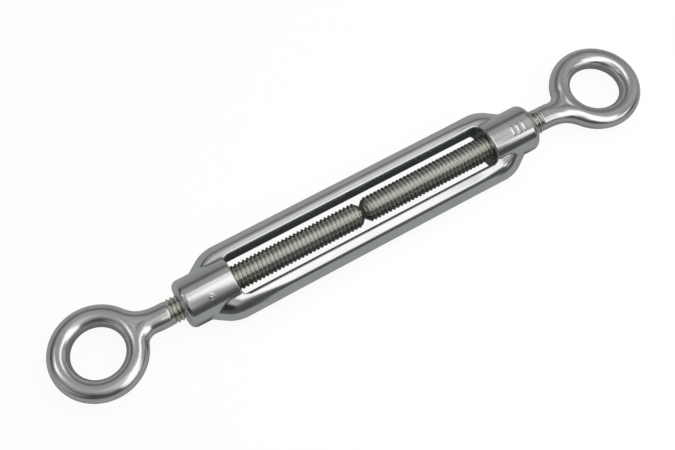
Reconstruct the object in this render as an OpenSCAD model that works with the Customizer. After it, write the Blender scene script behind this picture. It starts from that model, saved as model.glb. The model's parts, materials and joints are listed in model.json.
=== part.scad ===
// Rigging turnbuckle, open frame, eye and eye, M6 size.
// X runs along the tension axis, Y across the eyes, Z is square to the plane of the eyes.
// The origin is the middle of the frame, on the thread axis.

/* [Thread] */
// Nominal thread diameter
thread_d = 6; // [5.6:0.1:6.2]
// Thread pitch
thread_pitch = 1; // [0.8:0.1:1.25]
// Radial clearance between a rod's crests and the boss bore
thread_gap = 0.05; // [0.03:0.01:0.09]

/* [Frame] */
// Length of the frame over its two bosses
frame_l = 92.4; // [88:0.1:100]
// Outside diameter of a boss
boss_d = 11.4; // [11:0.1:12]
// Length of the right boss
boss_l = 12.2; // [11.5:0.1:14]
// Length of the left boss
left_boss_l = 13; // [11.5:0.1:14]
// Rounding of a boss's outer rim
boss_rim_r = 1.6; // [0.8:0.1:1.8]
// Rounding of a boss's inner rim
boss_inner_rim_r = 0.5; // [0.3:0.1:0.8]
// Width across the two side arms
arms_w = 18.2; // [18:0.1:19.4]
// Width of the window at the two flat sides of the frame
window_w = 10.2; // [9.8:0.1:10.6]
// Width of the window at mid thickness, where its drafted walls meet
window_mid_w = 8.2; // [8:0.1:9.6]
// Thickness of an arm
arm_t = 5.5; // [4.6:0.1:5.8]
// Turn of the frame about the rods, away from the plane of the eyes
frame_turn = 8; // [-20:1:20]
// Radius of the shoulder where an arm turns in to its boss
shoulder_r = 8.5; // [8:0.5:10]
// Angle that the shoulder turns through
shoulder_a = 34; // [30:1:38]

/* [Eye bolt] */
// Distance from the frame's middle to the centre of an eye
eye_x = 66.3; // [65.5:0.1:70]
// Radius of the eye's wire centre line
ring_r = 8.55; // [8.4:0.05:8.8]
// Diameter of the eye's wire
wire_d = 5; // [4.8:0.1:5.2]
// Sideways offset of the eye from the thread axis
ring_offset = 0.7; // [0.5:0.1:1]
// Depth of the polished land round the inside of the eye
land_depth = 0.05; // [0.04:0.01:0.08]
// Diameter of the plain shank
shank_d = 5.7; // [5.3:0.1:5.8]
// Distance from the frame's middle to the end of the thread
thread_end_x = 49; // [48.5:0.1:50]
// Distance from the frame's middle to a rod's tip
tip_x = 0.3; // [0.3:0.1:2]
// Distance from a rod's tip to the middle of its first ridge
tip_l = 1.2; // [0.8:0.1:1.5]
// Radius of the long bend that carries the shank into the eye
long_bend_r = 10.8; // [8:0.1:11.5]
// Radius of the short bend on the closed side of the eye
short_bend_r = 5.3; // [4.5:0.1:6]

/* [Hidden] */
$fn = 96;

// Thread, with 60 degree flanks
thread_r = thread_d / 2;
thread_depth = 0.6134 * thread_pitch;
minor_r = thread_r - thread_depth;
flank_w = thread_depth * tan(30);
crest_w = thread_pitch / 8;
bore_r = thread_r + thread_gap;

// Frame
boss_in = frame_l / 2 - boss_l;                // inner face of the right boss
shoulder_x = boss_in + 0.1;                    // where a shoulder starts to turn
shoulder_wall = 4;                             // thread axis to its inner top corner
window_draft = (window_w - window_mid_w) / 2;
side_h = 0.15;                                 // half height of an arm's outer side
seam = 0.05;                                   // inset that keeps joined surfaces apart
// Crown of an arm, inner to outer: [distance in from the outer side, drop below the top]
arm_crown = [[2.9, 0], [2.1, 0.3], [1.3, 0.95]];
// Crown of a shoulder: [distance in from the outer side, height]
shoulder_crown = [[3.1, 2.75], [2.1, 2.2], [1.2, 1.5]];

// Eye
wire_r = wire_d / 2;
land_r = ring_r - wire_r + land_depth;

// Lays Z along X, starting at x
module along_x(x = 0) {
    translate([x, 0, 0]) rotate([0, 90, 0]) children();
}

// Extrudes a [Y, Z] section along X, starting at x
module extrude_x(x, length) {
    translate([x, 0, 0]) rotate([90, 0, 90]) linear_extrude(length) children();
}

// Cutter that rounds a corner pointing to +X +Y, centred on the rounding
module rim_cutter(radius) {
    difference() {
        square(radius + 1);
        circle(r = radius);
    }
}

// Half section of a boss, with its inner face on the X axis and its outer rim up
module boss_profile(length) {
    difference() {
        square([boss_d / 2, length]);
        translate([boss_d / 2 - boss_rim_r, length - boss_rim_r])
            rim_cutter(boss_rim_r);
        translate([boss_d / 2 - boss_inner_rim_r, boss_inner_rim_r])
            mirror([0, 1, 0]) rim_cutter(boss_inner_rim_r);
    }
}

// Upper halves of the sections, as [distance from the thread axis, height] pairs from the
// window wall to the outer side, drawn in by inset
function arm_half(inset) =
    let(outer = arms_w / 2 - inset, top = arm_t / 2 - inset) [
        [window_w / 2 + inset, top],
        for (point = arm_crown) [outer - point[0], top - point[1]],
        [outer, side_h]];

// A shoulder's inner top corner stands at wall, and is lower the further out it is
function shoulder_half(inset, wall) =
    let(outer = arms_w / 2 - inset, top = 3.85 - 0.52 * (wall - shoulder_wall)) [
        [wall + inset, top - inset],
        for (point = shoulder_crown) [outer - point[0], point[1] - inset],
        [outer, side_h]];

// Whole section: an upper half and its mirror image, with the drafted window wall
module section(half) {
    last = len(half) - 1;
    polygon(concat(
        [[half[0][0] - window_draft, 0]],
        half,
        [for (i = [last : -1 : 0]) [half[i][0], -half[i][1]]]));
}

// Shoulder that carries the +Y arm in to the +X boss
module shoulder() {
    centre_y = arms_w / 2 - shoulder_r;
    back_a = 3;        // the turn starts this far back, inside the arm
    tail_l = 5.1;      // straight run into the boss
    tail_overlap = 0.5;
    swell_l = 5.5;     // the arm starts to swell this far before the boss
    slice_t = 0.05;

    translate([shoulder_x, centre_y, 0]) {
        rotate([0, 0, 90 - shoulder_a])
            rotate_extrude(angle = shoulder_a + back_a)
                translate([-centre_y, 0]) section(shoulder_half(seam, shoulder_wall));
        rotate([0, 0, -shoulder_a])
            extrude_x(-tail_overlap, tail_l)
                translate([-centre_y, 0]) section(shoulder_half(2 * seam, shoulder_wall));
    }
    hull() {
        extrude_x(boss_in - swell_l, slice_t) section(arm_half(seam));
        extrude_x(shoulder_x, slice_t) section(shoulder_half(0, window_w / 2));
    }
}

// The +X boss with both its shoulders, and the +Y arm
module frame_half(boss_length, turn) {
    arm_overlap = 0.6;
    arm_end = boss_in + arm_overlap;
    along_x(frame_l / 2 - boss_length) rotate_extrude() boss_profile(boss_length);
    rotate([turn, 0, 0]) {
        extrude_x(-arm_end, 2 * arm_end) section(arm_half(0));
        shoulder();
        mirror([0, 1, 0]) shoulder();
    }
}

// Raised pip on the left boss
module pip() {
    translate([-boss_in - boss_l * 0.47, 0, 0]) rotate([34, 0, 0])
        translate([0, 0, boss_d / 2 - 0.35]) sphere(r = 0.75);
}

// Three raised bars across the right boss
module index_bars() {
    bar = [0.6, 2.4, 0.75];
    bar_pitch = 1.5;
    sunk = 0.6;
    for (i = [-1 : 1])
        translate([boss_in + boss_l * 0.6 + i * bar_pitch, 0, 0]) rotate([16, 0, 0])
            translate([-bar[0] / 2, -bar[1] / 2, boss_d / 2 - sunk]) cube(bar);
}

// Cutter for the +X boss: its bore, and a 45 degree countersink at each mouth
module boss_bore(boss_length) {
    outer_sink = 1.2;
    inner_sink = 0.75;
    overrun = 0.3;     // how far a countersink runs out past the boss's face
    bore_overrun = 5;
    along_x(boss_in - bore_overrun) cylinder(r = bore_r, h = boss_l + 2 * bore_overrun);
    along_x(frame_l / 2 + overrun - outer_sink)
        cylinder(r1 = bore_r, r2 = bore_r + outer_sink, h = outer_sink);
    along_x(frame_l / 2 - boss_length - overrun)
        cylinder(r1 = bore_r + inner_sink, r2 = bore_r, h = inner_sink);
}

module frame_body() {
    color([0.72, 0.73, 0.74])
        difference() {
            union() {
                frame_half(boss_l, frame_turn);
                rotate([0, 0, 180]) frame_half(left_boss_l, -frame_turn);
                pip();
                index_bars();
            }
            boss_bore(boss_l);
            rotate([0, 0, 180]) boss_bore(left_boss_l);
        }
}

// One ridge of the thread, as [radius, distance along the rod] pairs
function ridge(x) = [
    [minor_r, x - crest_w / 2 - flank_w],
    [thread_r, x - crest_w / 2],
    [thread_r, x + crest_w / 2],
    [minor_r, x + crest_w / 2 + flank_w]];

// Rod along +X with a chamfered tip; its thread is a row of plain rings
module threaded_rod() {
    chamfer = 0.35;
    runout_l = 0.45;   // cone from the thread's root up to the shank
    end_gap = 0.5;     // least room from the last ridge to the thread's end
    first_x = tip_x + tip_l;
    shank_end = eye_x - ring_r;
    last = floor((thread_end_x - end_gap - first_x) / thread_pitch);
    along_x() rotate_extrude()
        polygon(concat(
            [[0, tip_x], [minor_r - chamfer, tip_x], [minor_r, tip_x + chamfer]],
            [for (i = [0 : last]) each ridge(first_x + i * thread_pitch)],
            [[minor_r, thread_end_x], [shank_d / 2, thread_end_x + runout_l],
             [shank_d / 2, shank_end], [0, shank_end]]));
}

// Bend tangent to the thread axis and to the eye's ring; side is +1 or -1 in Y
module bend(radius, section_r, side) {
    reach = ring_r + radius;
    back = sqrt(pow(reach, 2) - pow(radius - side * ring_offset, 2));
    sweep = asin(back / reach);
    translate([eye_x - back, side * radius, 0])
        rotate([0, 0, side > 0 ? -90 : 90 - sweep])
            rotate_extrude(angle = sweep) translate([radius, 0]) circle(r = section_r);
}

// Eye bolt on the +X side, with its long bend towards -Y
module eye_bolt() {
    difference() {
        union() {
            threaded_rod();
            translate([eye_x, ring_offset, 0])
                rotate_extrude() translate([ring_r, 0]) circle(r = wire_r);
            bend(long_bend_r, wire_r - 0.1, -1);
            bend(short_bend_r, wire_r - 0.3, 1);
        }
        translate([eye_x, ring_offset, -wire_d]) cylinder(r = land_r, h = 2 * wire_d);
    }
}

module right_hand_eye_bolt() {
    color([0.7, 0.71, 0.72]) eye_bolt();
}

module left_hand_eye_bolt() {
    color([0.68, 0.69, 0.7]) rotate([0, 0, 180]) eye_bolt();
}

frame_body();
right_hand_eye_bolt();
left_hand_eye_bolt();
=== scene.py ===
"""Looks for a rigging turnbuckle: a smooth forged frame and two eye bolts, in a pale studio.

The rods lie along X through the origin: right-hand bolt on +X, left-hand bolt on -X. The frame's
arms are on the Y sides, turned a little about X, and the eyes lie flat in the XY plane.
Shapes are distance fields (negative inside) in mm, meshed and scaled to metres.
"""
import json
import math

import bmesh
import bpy
import numpy as np
from mathutils import Matrix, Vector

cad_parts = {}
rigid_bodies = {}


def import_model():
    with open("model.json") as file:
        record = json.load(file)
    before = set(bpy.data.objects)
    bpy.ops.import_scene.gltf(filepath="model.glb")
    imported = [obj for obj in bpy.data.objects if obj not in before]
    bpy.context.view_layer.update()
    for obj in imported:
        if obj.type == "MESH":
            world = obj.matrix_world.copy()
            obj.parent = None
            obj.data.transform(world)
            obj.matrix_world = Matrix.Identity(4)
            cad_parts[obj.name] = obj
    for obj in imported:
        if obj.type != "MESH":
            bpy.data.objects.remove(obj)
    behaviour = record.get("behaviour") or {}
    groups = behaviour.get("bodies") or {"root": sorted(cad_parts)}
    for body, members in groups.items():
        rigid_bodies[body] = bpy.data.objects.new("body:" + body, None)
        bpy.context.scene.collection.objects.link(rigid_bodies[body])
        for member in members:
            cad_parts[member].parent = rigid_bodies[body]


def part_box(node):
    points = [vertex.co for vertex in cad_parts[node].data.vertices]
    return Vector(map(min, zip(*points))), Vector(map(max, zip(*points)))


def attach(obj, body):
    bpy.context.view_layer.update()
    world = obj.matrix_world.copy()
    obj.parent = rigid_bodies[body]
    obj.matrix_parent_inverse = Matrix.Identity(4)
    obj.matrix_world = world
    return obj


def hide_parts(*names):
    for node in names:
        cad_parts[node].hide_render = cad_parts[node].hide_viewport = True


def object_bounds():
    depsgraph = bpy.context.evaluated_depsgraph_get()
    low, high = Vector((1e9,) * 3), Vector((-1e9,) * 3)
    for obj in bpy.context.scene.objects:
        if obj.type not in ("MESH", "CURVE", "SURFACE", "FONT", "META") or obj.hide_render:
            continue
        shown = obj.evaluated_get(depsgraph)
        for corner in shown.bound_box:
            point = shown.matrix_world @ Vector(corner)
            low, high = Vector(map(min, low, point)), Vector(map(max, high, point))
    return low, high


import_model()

MM = 0.001
scene = bpy.context.scene
cad_lo, cad_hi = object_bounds()


# ---------------------------------------------------------------- sizes in mm, some from the CAD
def box_mm(piece):
    return [np.array(corner) * 1000 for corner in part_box(piece)]


bolt_lo, bolt_hi = box_mm("right_hand_eye_bolt")

# frame: a boss at each end, joined by two arms with a window between them
FACE = box_mm("frame_body")[1][0]   # outer face of a boss
BOSS_L, BOSS_R, BOSS_RIM = 12.2, 5.7, 1.6
BOSS_IN = FACE - BOSS_L
BOSS_IN_LEFT = FACE - 13.0          # the -X boss is a little longer
BORE_R = 3.05
TURN = math.radians(8)              # turn of the frame about the rods
ARM_Y = 9.1                         # outermost side of an arm, before the turn
ARM_T = 5.5                         # thickness of an arm
EDGE_Z = 0.12                       # half height of an arm's outermost side
WIN_Y, WIN_MID = 5.1, 4.1           # window wall at the flat sides and at the parting line
WIN_CORNER_R = 1.5
SHOULDER_R, SHOULDER_TURN = 8.5, math.radians(34)

# near a boss an arm's crown swells, and a leaning face opens beside it. Columns: |x| where that
# starts and ends, swell, y where the face meets the bevel at the start and at the end
FLARE_LOWER_LEFT = (20.5, 35.5, 0.60, 8.70, 7.83)
FLARE_OTHERS = (27.0, 36.5, 0.35, 8.40, 7.82)
UPPER_LEFT_SHARE = 0.15             # the -X +Y shoulder hardly flares

PIP_R, PIP_TURN = 0.72, math.radians(34)
BAR_HALF, BAR_ROUND = (0.3, 1.2, 0.38), 0.22
BAR_PITCH, BAR_TURN = 1.5, math.radians(16)

# eye bolt, +X side
TIP = bolt_lo[0]
RING_R, WIRE_R = 8.55, 2.5          # ring's middle line, and its wire
EYE = np.array([bolt_hi[0] - RING_R - WIRE_R, bolt_hi[1] - RING_R - WIRE_R])
LONG_BEND, SHORT_BEND = 10.8, 5.3   # hollow bends of the neck, on its -Y and +Y sides
SHANK_R = 2.85
THREAD_R, PITCH = 3.0, 1.0
ROOT_R = THREAD_R - 0.44 * PITCH    # the rounded roots are shallower than a sharp thread's
THREAD_END = 49.0
TIP_R, TIP_SLOPE = 1.9, 0.95        # chamfer at the tip
PITCH_ROWS, TURN_STEPS = 14, 96     # mesh rows to a pitch, points to a turn


# ---------------------------------------------------------------- distance helpers
def union_round(a, b, radius):
    """Union with a round fillet."""
    near = np.hypot(np.maximum(radius - a, 0), np.maximum(radius - b, 0))
    return np.maximum(radius, np.minimum(a, b)) - near


def meet_round(a, b, radius):
    """Intersection with a round edge."""
    near = np.hypot(np.maximum(radius + a, 0), np.maximum(radius + b, 0))
    return np.minimum(-radius, np.maximum(a, b)) + near


def meet_soft(a, b, width):
    """Intersection with a soft edge; two faces that lie together stay together."""
    share = np.maximum(width - np.abs(a - b), 0) / width
    return np.maximum(a, b) + share * share * width / 4


def smooth(t):
    t = np.clip(t, 0, 1)
    return t * t * (3 - 2 * t)


def round_box(point, half, radius):
    outside = [np.abs(c) - h + radius for c, h in zip(point, half)]
    corner = np.sqrt(sum(np.maximum(c, 0) ** 2 for c in outside))
    return corner + np.minimum(np.maximum.reduce(outside), 0) - radius


def turn_about_x(y, z, angle):
    """y and z as seen from axes turned by the angle about X."""
    cos, sin = math.cos(angle), math.sin(angle)
    return y * cos + z * sin, z * cos - y * sin


def off_parting(z):
    """Height off the parting plane, eased so that no crease shows there."""
    return np.sqrt(z * z + 0.04)


# ---------------------------------------------------------------- the frame
def arm_top(y, z, x_abs, past, left, lower):
    """Crown and outside bevel of an arm; y runs outwards, past is how far x is past the window."""
    z = off_parting(z)
    lower_left = left & lower
    start, end, swell, face_start, face_end = (
        np.where(lower_left, a, b) for a, b in zip(FLARE_LOWER_LEFT, FLARE_OTHERS))
    flare = smooth((x_abs - start) / (end - start)) * np.where(left & ~lower, UPPER_LEFT_SHARE, 1)
    # past the window's end the lower left crown tilts too, about y = 5
    tilt = 0.2 * smooth(past / 5) * lower_left

    # the slope grows from crown to lean over a width; on the plain arm lean is the bevel's slope
    bevel, bevel_foot = 4 / 3, ARM_Y * 4 / 3 + EDGE_Z
    crown = 0.07 + 0.08 * flare + tilt
    lean = bevel - 0.49 * flare
    height = ARM_T / 2 + swell * flare - 0.6 * tilt
    face_y = face_start + (face_end - face_start) * flare
    crown_y = 5.6
    width = 2.02 + np.where(left, 0.9, -0.15) * flare - 2.0 * tilt
    gap = bevel_foot - (bevel - lean) * face_y - height - crown_y * crown
    middle = gap / (lean - crown)
    along = (y - middle) / width + 0.5
    part = np.clip(along, 0, 1)
    rise = part ** 3 - part ** 4 / 2 + np.maximum(along - 1, 0)
    slope = crown + (lean - crown) * smooth(along)
    top = z - height + crown * (y - crown_y) + (lean - crown) * width * rise
    side = 0.8 * (y - ARM_Y) + 0.6 * (z - EDGE_Z)
    return meet_soft(top / np.sqrt(1 + slope * slope), side, 0.12)


def arm_field(x_abs, y_abs, z, boss_in, left, lower):
    """One side arm with its two shoulders, folded on to the +X +Y side."""
    # outline: straight side, round shoulder, then a straight run in to the boss
    dx, dy = x_abs - (BOSS_IN + 0.1), y_abs - (ARM_Y - SHOULDER_R)
    sin, cos = math.sin(SHOULDER_TURN), math.cos(SHOULDER_TURN)
    run = sin * dx + cos * dy - SHOULDER_R
    bend = np.where(np.arctan2(dx, dy) < SHOULDER_TURN, np.hypot(dx, dy) - SHOULDER_R, run)
    y = ARM_Y + np.where(dx < 0, dy - SHOULDER_R, bend)
    top = arm_top(y, z, x_abs, dx, left, lower)

    # the drafted wall of the window, then the rounded corner where it meets the boss
    half, draft = ARM_T / 2, WIN_Y - WIN_MID
    wall = (-half * (y_abs - WIN_MID) + draft * off_parting(z)) / math.hypot(draft, half)
    wall = np.where(dx > 0, np.minimum(wall, WIN_MID - y), wall)
    corner_x, corner_y = boss_in - WIN_CORNER_R, WIN_Y - WIN_CORNER_R
    corner = np.maximum(WIN_CORNER_R - np.hypot(x_abs - corner_x, y_abs - corner_y),
                        np.maximum(corner_x - x_abs, corner_y - y_abs))
    arm = meet_round(top, np.minimum(wall, corner), 0.3)
    reach = 5.0                     # the run stops this far beyond the shoulder, inside the boss
    return np.maximum(arm, np.where(dx > 0, dx * cos - dy * sin - reach, -reach))


def pip_field(x, y, z):
    """Pip on the -X boss."""
    centre_r = BOSS_R - 0.35
    pip_x = -BOSS_IN - BOSS_L * 0.47
    pip_y, pip_z = -math.sin(PIP_TURN) * centre_r, math.cos(PIP_TURN) * centre_r
    return np.sqrt((x - pip_x) ** 2 + (y - pip_y) ** 2 + (z - pip_z) ** 2) - PIP_R


def frame_field(x, y, z):
    x_abs, rho = np.abs(x), np.hypot(y, z)
    y_arm, z_arm = turn_about_x(y, z, TURN)
    boss_in = np.where(x < 0, BOSS_IN_LEFT, BOSS_IN)
    boss = meet_round(rho - BOSS_R, x_abs - FACE, BOSS_RIM)
    boss = meet_round(boss, boss_in - x_abs, 0.5)
    arms = arm_field(x_abs, np.abs(y_arm), z_arm, boss_in, x < 0, y_arm < 0)
    body = union_round(boss, arms, 0.2)
    body = union_round(body, pip_field(x, y, z), 0.15)
    # three bars across the top of the +X boss
    y_bar, z_bar = turn_about_x(y, z, BAR_TURN)
    for i in (-1, 0, 1):
        bar_x = BOSS_IN + BOSS_L * 0.6 + i * BAR_PITCH
        bar = round_box((x - bar_x, y_bar, z_bar - BOSS_R + 0.28), BAR_HALF, BAR_ROUND)
        body = union_round(body, bar, 0.15)
    # bore, wider at the outer face and at the window
    outer = np.clip(x_abs - (FACE - 0.9), 0, 1.2)
    inner = np.clip(boss_in + 0.45 - x_abs, 0, 0.8)
    return meet_round(body, BORE_R + outer + inner - rho, 0.18)


# ---------------------------------------------------------------- eye, neck and plain shank
def eye_side(x, y, half, dist, bend, side):
    """Outline on one Y side: straight shank, hollow bend, then the outside of the ring."""
    across = bend - side * EYE[1]
    bend_x = EYE[0] - math.sqrt((RING_R + bend) ** 2 - across ** 2)
    dx, dy = x - bend_x, side * y - bend
    ring_turn = math.atan2(EYE[0] - bend_x, across)
    turn = np.arctan2(dx, -dy)
    hollow = (bend - half) - np.hypot(dx, dy)
    bent = np.where((turn < ring_turn) & (turn >= 0), hollow, dist - (RING_R + half))
    return np.where(dx < 0, side * y - half, bent)


def eye_field(x, y, z):
    """+X bolt: ring, neck and shank as one outline in plan, made round in section."""
    dist = np.hypot(x - EYE[0], y - EYE[1])
    half = WIRE_R + (SHANK_R - WIRE_R) * smooth((56 - x) / 5)
    long_side = eye_side(x, y, half, dist, LONG_BEND, -1)
    short_side = eye_side(x, y, half, dist, SHORT_BEND, 1)
    hole = (RING_R - WIRE_R) - dist
    plan = np.maximum(np.maximum(long_side, short_side), hole)
    # where the outline is wider than the wire, the middle is a little thinner
    depth = np.maximum(-plan - half, 0)
    solid = np.hypot(np.maximum(plan + half, 0), z) - half + 0.15 * smooth(depth / 1.2)
    return meet_round(solid, (THREAD_END + 0.25) - x, 0.3)


# ---------------------------------------------------------------- meshing
def net_points(vals, inside, cells):
    """Mean of the crossings on each cell's edges, in grid steps."""
    total, hits = np.zeros((len(cells), 3)), np.zeros(len(cells))
    for start in np.ndindex(2, 2, 2):
        for axis in range(3):
            if start[axis]:
                continue
            end = list(start)
            end[axis] = 1
            val_start = vals[tuple((cells + start).T)]
            val_end = vals[tuple((cells + end).T)]
            cross = (val_start < 0) != (val_end < 0)
            share = np.where(cross, val_start / np.where(cross, val_start - val_end, 1), 0)
            point = np.array(start, float)[None].repeat(len(cells), 0)
            point[:, axis] += share
            total += point * cross[:, None]
            hits += cross
    return cells + total / hits[:, None]


def net_quads(inside, index):
    """One quad round each grid edge that the surface crosses."""
    size = inside.shape
    quads = []
    for axis in range(3):
        side1, side2 = (axis + 1) % 3, (axis + 2) % 3
        near, far = [slice(None)] * 3, [slice(None)] * 3
        near[axis], far[axis] = slice(0, -1), slice(1, None)
        near_in = inside[tuple(near)]
        edge = np.argwhere(near_in != inside[tuple(far)])
        for side in (side1, side2):
            edge = edge[(edge[:, side] > 0) & (edge[:, side] < size[side] - 1)]
        ring = []
        for shift1, shift2 in ((-1, -1), (0, -1), (0, 0), (-1, 0)):
            cell = edge.copy()
            cell[:, side1] += shift1
            cell[:, side2] += shift2
            ring.append(index[tuple(cell.T)])
        quad = np.stack(ring, 1)
        flip = ~near_in[tuple(edge.T)]
        quad[flip] = quad[flip][:, ::-1]
        quads.append(quad)
    return np.concatenate(quads)


def gradient(field, points, reach):
    slope = np.empty_like(points)
    for i in range(3):
        shift = np.zeros(3)
        shift[i] = reach
        slope[:, i] = (field(*(points + shift).T) - field(*(points - shift).T)) / (2 * reach)
    return slope


def settle(field, points, step):
    """Moves points on to the true surface, no further than 3/4 of a grid step."""
    start = points
    for _ in range(4):
        slope = gradient(field, points, 0.01)
        move = field(*points.T)[:, None] * slope
        move = move / np.maximum((slope * slope).sum(1), 0.25)[:, None]
        size = np.linalg.norm(move, axis=1, keepdims=True)
        points = points - move * np.minimum(1, step * 0.5 / np.maximum(size, 1e-9))
    away = points - start
    limit = 0.75 * step
    far = np.linalg.norm(away, axis=1) > limit
    pull = limit / np.linalg.norm(away[far], axis=1)
    points[far] = start[far] + away[far] * pull[:, None]
    return points


def surface(field, low, high, step):
    """Surface nets over a grid. Returns points, quads and normals."""
    axes = [np.arange(a, b + step, step) for a, b in zip(low, high)]
    size = [len(axis) for axis in axes]
    vals = np.empty(size, np.float32)
    slab = 32                       # grid layers worked out at a time, to spare memory
    for s in range(0, size[0], slab):
        vals[s:s + slab] = field(*np.meshgrid(axes[0][s:s + slab], *axes[1:], indexing="ij"))
    inside = vals < 0
    count = np.zeros([k - 1 for k in size], np.uint8)
    for corner in np.ndindex(2, 2, 2):
        count += inside[tuple(slice(c, k - 1 + c) for c, k in zip(corner, size))]
    cells = np.argwhere((count > 0) & (count < 8))
    index = np.full(count.shape, -1, np.int64)
    index[tuple(cells.T)] = np.arange(len(cells))
    points = net_points(vals, inside, cells) * step + np.array([axis[0] for axis in axes])
    points = settle(field, points, step)
    slope = gradient(field, points, 0.02)
    normals = slope / np.maximum(np.linalg.norm(slope, axis=1), 1e-9)[:, None]
    return points, net_quads(inside, index), normals


def link_object(name, mesh):
    obj = bpy.data.objects.new(name, mesh)
    scene.collection.objects.link(obj)
    return obj


def surface_object(name, points, faces, normals):
    mesh = bpy.data.meshes.new(name)
    mesh.from_pydata((points * MM).tolist(), [], faces.tolist())
    mesh.validate()
    mesh.update()
    for poly in mesh.polygons:
        poly.use_smooth = True
    mesh.normals_split_custom_set_from_vertices(normals.tolist())
    return link_object(name, mesh)


# ---------------------------------------------------------------- the thread
def rod_grid(hand):
    """Points and quads of a rod from its tip to inside the shank. Rows follow the helix."""
    # one pitch of a rolled thread, as shares of its depth: crest and root both rounded
    profile = np.array([(0.5 - 0.5 * math.cos(2 * math.pi * k / PITCH_ROWS)) ** 0.85
                        for k in range(PITCH_ROWS)])
    end = THREAD_END + 1.6
    rows = PITCH_ROWS * (int(math.ceil((end - TIP) / PITCH)) + 2)
    row = np.arange(-PITCH_ROWS, rows - PITCH_ROWS)
    along = (row % PITCH_ROWS) / PITCH_ROWS + row // PITCH_ROWS
    angle = np.arange(TURN_STEPS) / TURN_STEPS * 2 * math.pi
    x = TIP + (along[:, None] + (angle / (2 * math.pi))[None]) * PITCH
    radius = ROOT_R + (THREAD_R - ROOT_R) * profile[row % PITCH_ROWS][:, None]
    runout = smooth((x - (THREAD_END - 0.55)) / 1.0)
    radius = radius + (SHANK_R - 0.06 - radius) * runout
    radius = np.minimum(radius, TIP_R + np.maximum(x - TIP, 0) * TIP_SLOPE)
    turned = angle[None] * hand
    points = np.stack([np.clip(x, TIP, end), radius * np.cos(turned), radius * np.sin(turned)], -1)

    faces = []
    for j in range(TURN_STEPS):
        # after a full turn a row carries on as the row one pitch further
        last = j == TURN_STEPS - 1
        ahead = PITCH_ROWS if last else 0
        after = 0 if last else j + 1
        a = np.arange(rows - 1 - ahead)
        faces.append(np.stack([a * TURN_STEPS + j, (a + 1) * TURN_STEPS + j,
                               (a + 1 + ahead) * TURN_STEPS + after,
                               (a + ahead) * TURN_STEPS + after], 1))
    faces = np.concatenate(faces)
    return points.reshape(-1, 3), faces[:, ::-1] if hand < 0 else faces


def threaded_rod(name, hand):
    points, faces = rod_grid(hand)
    bm = bmesh.new()
    verts = [bm.verts.new(p) for p in (points * MM).tolist()]
    for face in faces.tolist():
        bm.faces.new([verts[k] for k in face])
    # rows clipped at either end fall together; close the ends
    bmesh.ops.remove_doubles(bm, verts=bm.verts, dist=2e-6)
    bmesh.ops.dissolve_degenerate(bm, edges=bm.edges, dist=1e-7)
    loose = [v for v in bm.verts if not v.link_faces]
    bmesh.ops.delete(bm, geom=loose, context="VERTS")
    border = [e for e in bm.edges if len(e.link_faces) == 1]
    bmesh.ops.holes_fill(bm, edges=border, sides=0)
    bmesh.ops.recalc_face_normals(bm, faces=bm.faces)
    if hand < 0:
        bm.transform(Matrix.Rotation(math.pi, 4, "Z"))
    mesh = bpy.data.meshes.new(name)
    bm.to_mesh(mesh)
    bm.free()
    for poly in mesh.polygons:
        poly.use_smooth = len(poly.vertices) <= 6   # the end caps stay flat
    return link_object(name, mesh)


# ---------------------------------------------------------------- shader node helpers
def node(tree, kind, inputs, **settings):
    """A node; each input is a value or a socket."""
    made = tree.nodes.new(kind)
    for key, value in settings.items():
        setattr(made, key, value)
    for key, value in inputs.items():
        if hasattr(value, "links"):
            tree.links.new(value, made.inputs[key])
        else:
            made.inputs[key].default_value = value
    return made


def material(name):
    mat = bpy.data.materials.new(name)
    mat.use_nodes = True
    mat.node_tree.nodes.clear()
    return mat, mat.node_tree


def calc(tree, operation, *values):
    inputs = dict(enumerate(values))
    return node(tree, "ShaderNodeMath", inputs, operation=operation).outputs[0]


def split_xyz(tree, vector):
    return node(tree, "ShaderNodeSeparateXYZ", {0: vector}).outputs


def emission(tree, colour, strength):
    inputs = {"Color": (*colour, 1), "Strength": strength}
    return node(tree, "ShaderNodeEmission", inputs).outputs[0]


def mix_shader(tree, factor, first, second):
    return node(tree, "ShaderNodeMixShader", {0: factor, 1: first, 2: second}).outputs[0]


def mix_colour(tree, factor, first, second):
    inputs = {0: factor, 6: first, 7: second}   # 6 and 7 are the colour inputs A and B
    return node(tree, "ShaderNodeMix", inputs, data_type="RGBA").outputs[2]


def camera_ray(tree):
    return node(tree, "ShaderNodeLightPath", {}).outputs["Is Camera Ray"]


def soft_bands(tree, bands):
    """1 where each value is within half of 0, falling to 0 over edge either side (mm)."""
    out = None
    for value, half, edge in bands:
        band = node(tree, "ShaderNodeMapRange", {
            "From Min": (half + edge) * MM, "From Max": (half - edge) * MM,
            "Value": calc(tree, "ABSOLUTE", value)}, interpolation_type="SMOOTHSTEP").outputs[0]
        out = band if out is None else calc(tree, "MULTIPLY", out, band)
    return out


def soft_window(tree, x, y, centre, half, turn, edge):
    """1 inside a turned rectangle (mm) with soft edges."""
    cos, sin = math.cos(turn), math.sin(turn)
    dx, dy = (calc(tree, "SUBTRACT", v, c * MM) for v, c in zip((x, y), centre))
    along = [calc(tree, "MULTIPLY_ADD", dy, ky, calc(tree, "MULTIPLY", dx, kx))
             for kx, ky in ((cos, sin), (-sin, cos))]
    return soft_bands(tree, [(value, size, edge) for value, size in zip(along, half)])


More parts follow.
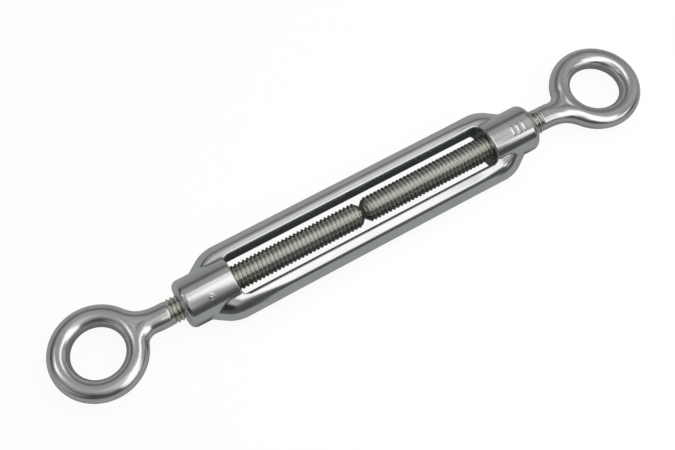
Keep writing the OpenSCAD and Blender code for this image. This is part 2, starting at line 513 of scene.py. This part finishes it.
# ---------------------------------------------------------------- steel
def paint_root_shade(tree, coords, colour):
    """The roots of the thread are painted darker: painted shade in the hollows between the crests.
    """
    xyz = split_xyz(tree, coords)
    across = node(tree, "ShaderNodeCombineXYZ", {"Y": xyz["Y"], "Z": xyz["Z"]}).outputs[0]
    radius = node(tree, "ShaderNodeVectorMath", {0: across}, operation="LENGTH").outputs["Value"]
    crest = node(tree, "ShaderNodeMapRange", {
        "From Min": ROOT_R * MM, "From Max": THREAD_R * MM, "Value": radius}).outputs[0]
    return mix_colour(tree, crest, (0.46, 0.46, 0.42, 1), colour)


def window_wall_shade_and_dull_mask(tree, coords):
    """1 on the walls of the frame's window, where shade is painted and the finish is duller."""
    xyz = split_xyz(tree, coords)
    y_part = calc(tree, "MULTIPLY", xyz["Y"], math.cos(TURN))
    y_arm = calc(tree, "MULTIPLY_ADD", xyz["Z"], math.sin(TURN), y_part)
    # half the difference of the two boss lengths
    x_window = calc(tree, "SUBTRACT", xyz["X"], 0.4 * MM)
    return soft_bands(tree, [(y_arm, 4.98, 0.12), (x_window, 33.55, 0.25)])


def steel(name, base, rough, thread=False, walls=False):
    """Polished stainless steel: fine polishing lines, faint cloudiness, soft unevenness; if asked,
    painted shade in thread roots or on the window walls.
    """
    mat, tree = material(name)
    coords = node(tree, "ShaderNodeTexCoord", {}).outputs["Object"]

    def noise(vector, scale, detail):
        inputs = {"Vector": vector, "Scale": scale, "Detail": detail}
        return node(tree, "ShaderNodeTexNoise", inputs).outputs["Fac"]

    cloud = noise(coords, scale=160, detail=4)
    # polishing lines: noise drawn out along X
    drawn = node(tree, "ShaderNodeMapping", {"Vector": coords, "Scale": (90, 2600, 2600)})
    lines = noise(drawn.outputs[0], scale=1.0, detail=3)
    grain = noise(coords, scale=1500, detail=2)
    slow = noise(coords, scale=260, detail=2)

    tint = node(tree, "ShaderNodeValToRGB", {"Fac": cloud})
    for stop, place, shade in zip(tint.color_ramp.elements, (0.3, 0.72), (0.934, 1.03)):
        stop.position = place
        stop.color = (*(c * shade for c in base), 1)
    colour = tint.outputs["Color"]
    dull = node(tree, "ShaderNodeMapRange", {
        "From Min": 0.3, "From Max": 0.7, "To Min": rough * 0.75, "To Max": rough * 1.35,
        "Value": cloud}).outputs[0]
    dull = calc(tree, "MULTIPLY_ADD", lines, 0.06, dull)
    if thread:
        # painted shade in the roots of the thread
        colour = paint_root_shade(tree, coords, colour)
    if walls:
        # the walls of the window are left duller, as cast, and their colour is painted darker than
        # the outside: painted shade between the arms
        wall = window_wall_shade_and_dull_mask(tree, coords)
        colour = mix_colour(tree, wall, colour, (0.36, 0.41, 0.4, 1))
        dull = calc(tree, "MULTIPLY_ADD", wall, 0.26, dull)

    surface_inputs = {"Metallic": 1.0, "Base Color": colour, "Roughness": dull}
    # bumps, each on top of the last: height, strength, distance in m
    bump = {}
    for height, strength, distance in (
            (lines, 0.25, 0.000004), (grain, 0.25, 0.000006), (slow, 0.35, 0.00002)):
        inputs = {"Height": height, "Strength": strength, "Distance": distance, **bump}
        bump = {"Normal": node(tree, "ShaderNodeBump", inputs).outputs[0]}
    shader = node(tree, "ShaderNodeBsdfPrincipled", {**surface_inputs, **bump})
    node(tree, "ShaderNodeOutputMaterial", {0: shader.outputs[0]})
    return mat


# ---------------------------------------------------------------- build the pieces
frame_step, eye_step = ((0.2, 0.16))


def build_frame():
    corner = np.array([FACE + 1, ARM_Y + 1, BOSS_R + 1.2])
    body = surface_object("frame_body_visual", *surface(frame_field, -corner, corner, frame_step))
    body.data.materials.append(
        steel("polished_frame_steel", base=(0.655, 0.665, 0.67), rough=0.1, walls=True))
    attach(body, "frame")
    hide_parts("frame_body")


def build_bolts():
    low = (THREAD_END - 0.65, EYE[1] - 12.53, -4.02)
    high = (EYE[0] + 12.5, EYE[1] + 12.5, 4.0)
    points, faces, normals = surface(eye_field, low, high, eye_step)
    eye_steel = steel("polished_eye_steel", base=(0.65, 0.655, 0.66), rough=0.15)
    thread_steel = steel("thread_steel", base=(0.86, 0.85, 0.79), rough=0.11, thread=True)
    for side, hand in (("right_hand", 1), ("left_hand", -1)):
        # the left-hand bolt is given half a turn about Z
        half_turn = np.array([hand, hand, 1.0])
        eye = surface_object(side + "_eye_and_shank", points * half_turn, faces,
                             normals * half_turn)
        eye.data.materials.append(eye_steel)
        rod = threaded_rod(side + "_threaded_rod", hand)
        rod.data.materials.append(thread_steel)
        for piece in (eye, rod):
            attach(piece, side + "_bolt")
            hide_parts(side + "_eye_bolt")


# ---------------------------------------------------------------- studio
# light and shade overhead, in mm: centre x, y, half sizes x, y, turn, soft edge, brightness added
# to the room's. Boxes brighter than BRIGHT don't add up where they overlap: the brightest counts
BRIGHT = 0.6
FRAME_BOXES = [
    (52, -100, 67, 120, 0.30, 12, 1.0),
    (39, 18, 73, 43, 0.0, 8, 0.7),
    (95, 98, 26, 26, 0.0, 12, 0.22),
    (-161, 89, 58, 14, -0.18, 8, 1.3),
    (207, -261, 25, 98, 0.43, 9, 1.25),
    (150, -30, 40, 75, 0.0, 25, 0.16),
    (-200, -190, 60, 120, 0.2, 30, -0.16),
    (-90, -190, 55, 110, 0.2, 30, 0.18),
    (560, -640, 110, 180, 0.3, 40, 0.5),
    (358, 119, 175, 32, 0.08, 30, -0.30),
    (-232, -283, 101, 249, -0.09, 20, -0.18),
    (-193, 231, 120, 142, 0, 10, -0.10),
    (-556, -88, 242, 284, -0.05, 30, -0.24),
]
EYE_BOXES = [
    (48, 5, 31, 92, 0.0, 12, 1.2),
    (34, -70, 58, 55, 0.2, 18, 1.1),
    (70, -220, 95, 118, 0.2, 20, 1.35),
    (240, -470, 190, 260, 0.3, 50, 1.2),
    (-150, 67, 45, 15, -0.1, 9, 1.4),
    (-50, -90, 45, 85, 0.2, 22, 0.28),
    (-240, -160, 95, 110, 0.0, 25, -0.22),
    (-270, 90, 80, 150, 0.0, 30, -0.20),
    (-120, 135, 40, 35, 0.0, 15, -0.10),
    (190, 90, 45, 30, 0.0, 15, -0.18),
]
# the room's own brightness: degrees from the -Y horizon over the top to the +Y horizon, value
ROOM = [
    (0, 0.11), (6, 0.09), (14, 0.085), (24, 0.12), (33, 0.21), (42, 0.33), (60, 0.42), (90, 0.48),
    (106, 0.44), (128, 0.42), (135, 0.24), (141, 0.16), (148, 0.17), (154, 0.28), (160, 0.34),
    (180, 0.37),
]
# dark patches of the floor as reflected, in mm: centre x, y, half sizes x, y, soft edge, drop
FLOOR_SHADES = [
    (0, 0, 46, 9.5, 4, 0.34),
    (-66, 0, 13, 11, 7, 0.22),
    (66, 0, 13, 11, 7, 0.22),
    (0, -860, 1500, 700, 30, 0.28),
]
# metres
FLOOR_Z = cad_lo[2] - 0.0002
FRAME_CARD_Z, EYE_CARD_Z = 0.2, 0.155
CARD_HALF = 1.5


def flat_card(name, height, mat):
    bm = bmesh.new()
    bmesh.ops.create_grid(bm, x_segments=2, y_segments=2, size=CARD_HALF)
    mesh = bpy.data.meshes.new(name)
    bm.to_mesh(mesh)
    bm.free()
    card = link_object(name, mesh)
    card.location = (0, 0, height)
    mesh.materials.append(mat)
    return card


def place_xy(tree):
    xyz = split_xyz(tree, node(tree, "ShaderNodeNewGeometry", {}).outputs["Position"])
    return xyz["X"], xyz["Y"]


def overhead(name, height, boxes, pieces, clear):
    """A card of light that the camera doesn't see and that lights only the given pieces.

    If clear, rays pass on through it as well.
    """
    mat, tree = material(name)
    x, y = place_xy(tree)
    angle = calc(tree, "ARCTAN2", height, calc(tree, "MULTIPLY", y, -1))
    room = node(tree, "ShaderNodeValToRGB", {"Fac": calc(tree, "DIVIDE", angle, math.pi)})
    stops = room.color_ramp.elements
    while len(stops) < len(ROOM):
        stops.new(0.5)
    for stop, (degrees, value) in zip(stops, ROOM):
        stop.position = degrees / 180
        stop.color = (value, value, value, 1)
    total = room.outputs["Color"]
    bright = 0.0
    for *rect, turn, edge, level in boxes:
        window = soft_window(tree, x, y, rect[:2], rect[2:], turn, edge)
        box = calc(tree, "MULTIPLY", window, level)
        if level > BRIGHT:
            bright = calc(tree, "MAXIMUM", box, bright)
        else:
            total = calc(tree, "ADD", box, total)
    total = calc(tree, "ADD", total, bright)
    shader = emission(tree, (1, 1, 0.985), calc(tree, "MAXIMUM", total, 0.03))
    if clear:
        through = node(tree, "ShaderNodeBsdfTransparent", {}).outputs[0]
        shader = node(tree, "ShaderNodeAddShader", {0: shader, 1: through}).outputs[0]
    node(tree, "ShaderNodeOutputMaterial", {0: shader})
    card = flat_card(name, height, mat)
    card.visible_camera = False
    card.light_linking.receiver_collection = pieces


def build_floor():
    """Pale to the camera; in reflections grey, and dark where the turnbuckle shades it."""
    mat, tree = material("pale_floor")
    x, y = place_xy(tree)
    light = 0.41
    for *rect, edge, drop in FLOOR_SHADES:
        shade = soft_window(tree, x, y, rect[:2], rect[2:], 0, edge)
        light = calc(tree, "MULTIPLY_ADD", shade, -drop, light)
    reflected = emission(tree, (0.97, 1.0, 1.0), calc(tree, "MAXIMUM", light, 0.04))
    diffuse = node(tree, "ShaderNodeBsdfDiffuse", {"Color": (0.16, 0.16, 0.16, 1)}).outputs[0]
    glow = emission(tree, (1, 1, 1), 0.915)
    seen = node(tree, "ShaderNodeAddShader", {0: diffuse, 1: glow}).outputs[0]
    node(tree, "ShaderNodeOutputMaterial", {0: mix_shader(tree, camera_ray(tree), reflected, seen)})
    flat_card("floor", FLOOR_Z, mat)


def build_overheads():
    """The frame and the eyes are lit apart, each by its own card."""
    eyes, rest = (bpy.data.collections.new(n) for n in ("lit_as_eyes", "lit_as_frame"))
    for obj in list(bpy.data.objects):
        if obj.type == "MESH":
            (eyes if obj.name.endswith("_eye_and_shank") else rest).objects.link(obj)
    overhead("overhead_light", FRAME_CARD_Z, FRAME_BOXES, rest, clear=False)
    overhead("overhead_light_eyes", EYE_CARD_Z, EYE_BOXES, eyes, clear=True)


def build_world():
    """White to the camera; otherwise dim, and darker on the -Y side."""
    world = bpy.data.worlds.new("studio")
    scene.world = world
    world.use_nodes = True
    tree = world.node_tree
    tree.nodes.clear()

    def background(strength):
        inputs = {"Color": (1, 1, 1, 1), "Strength": strength}
        return node(tree, "ShaderNodeBackground", inputs).outputs[0]

    way = split_xyz(tree, node(tree, "ShaderNodeTexCoord", {}).outputs["Generated"])
    dim = node(tree, "ShaderNodeMapRange", {
        "From Min": -0.4, "From Max": 0.4, "To Min": 0.11, "To Max": 0.36,
        "Value": way["Y"]}, interpolation_type="SMOOTHSTEP").outputs[0]
    mixed = mix_shader(tree, camera_ray(tree), background(dim), background(1.0))
    node(tree, "ShaderNodeOutputWorld", {0: mixed})


# ---------------------------------------------------------------- camera
ELEVATION, AZIMUTH, ROLL = math.radians(65.16), math.radians(31.88), math.radians(1.91)
ORIGIN_SEEN = np.array([5.560, 2.860, -240.523])  # the origin in the camera's own axes, mm
SENSOR, LENS = 36, 55.97333


def build_camera():
    back = np.array([0, -math.cos(ELEVATION), math.sin(ELEVATION)])
    level = np.array([1.0, 0, 0])
    upright = np.cross(back, level)
    right = math.cos(ROLL) * level + math.sin(ROLL) * upright
    up = -math.sin(ROLL) * level + math.cos(ROLL) * upright
    cos, sin = math.cos(AZIMUTH), math.sin(AZIMUTH)
    axes = np.stack([right, up, back]) @ np.array([[cos, -sin, 0], [sin, cos, 0], [0, 0, 1]])
    data = bpy.data.cameras.new("camera")
    data.sensor_width = SENSOR
    data.lens = LENS
    data.clip_start, data.clip_end = 0.01, 20
    camera = link_object("camera", data)
    place = np.eye(4)
    place[:3, :3] = axes.T
    place[:3, 3] = -axes.T @ ORIGIN_SEEN * MM
    camera.matrix_world = Matrix(place.tolist())
    scene.camera = camera


build_frame()
build_bolts()
build_floor()
build_overheads()
build_world()
build_camera()
scene.view_settings.view_transform = "Standard"
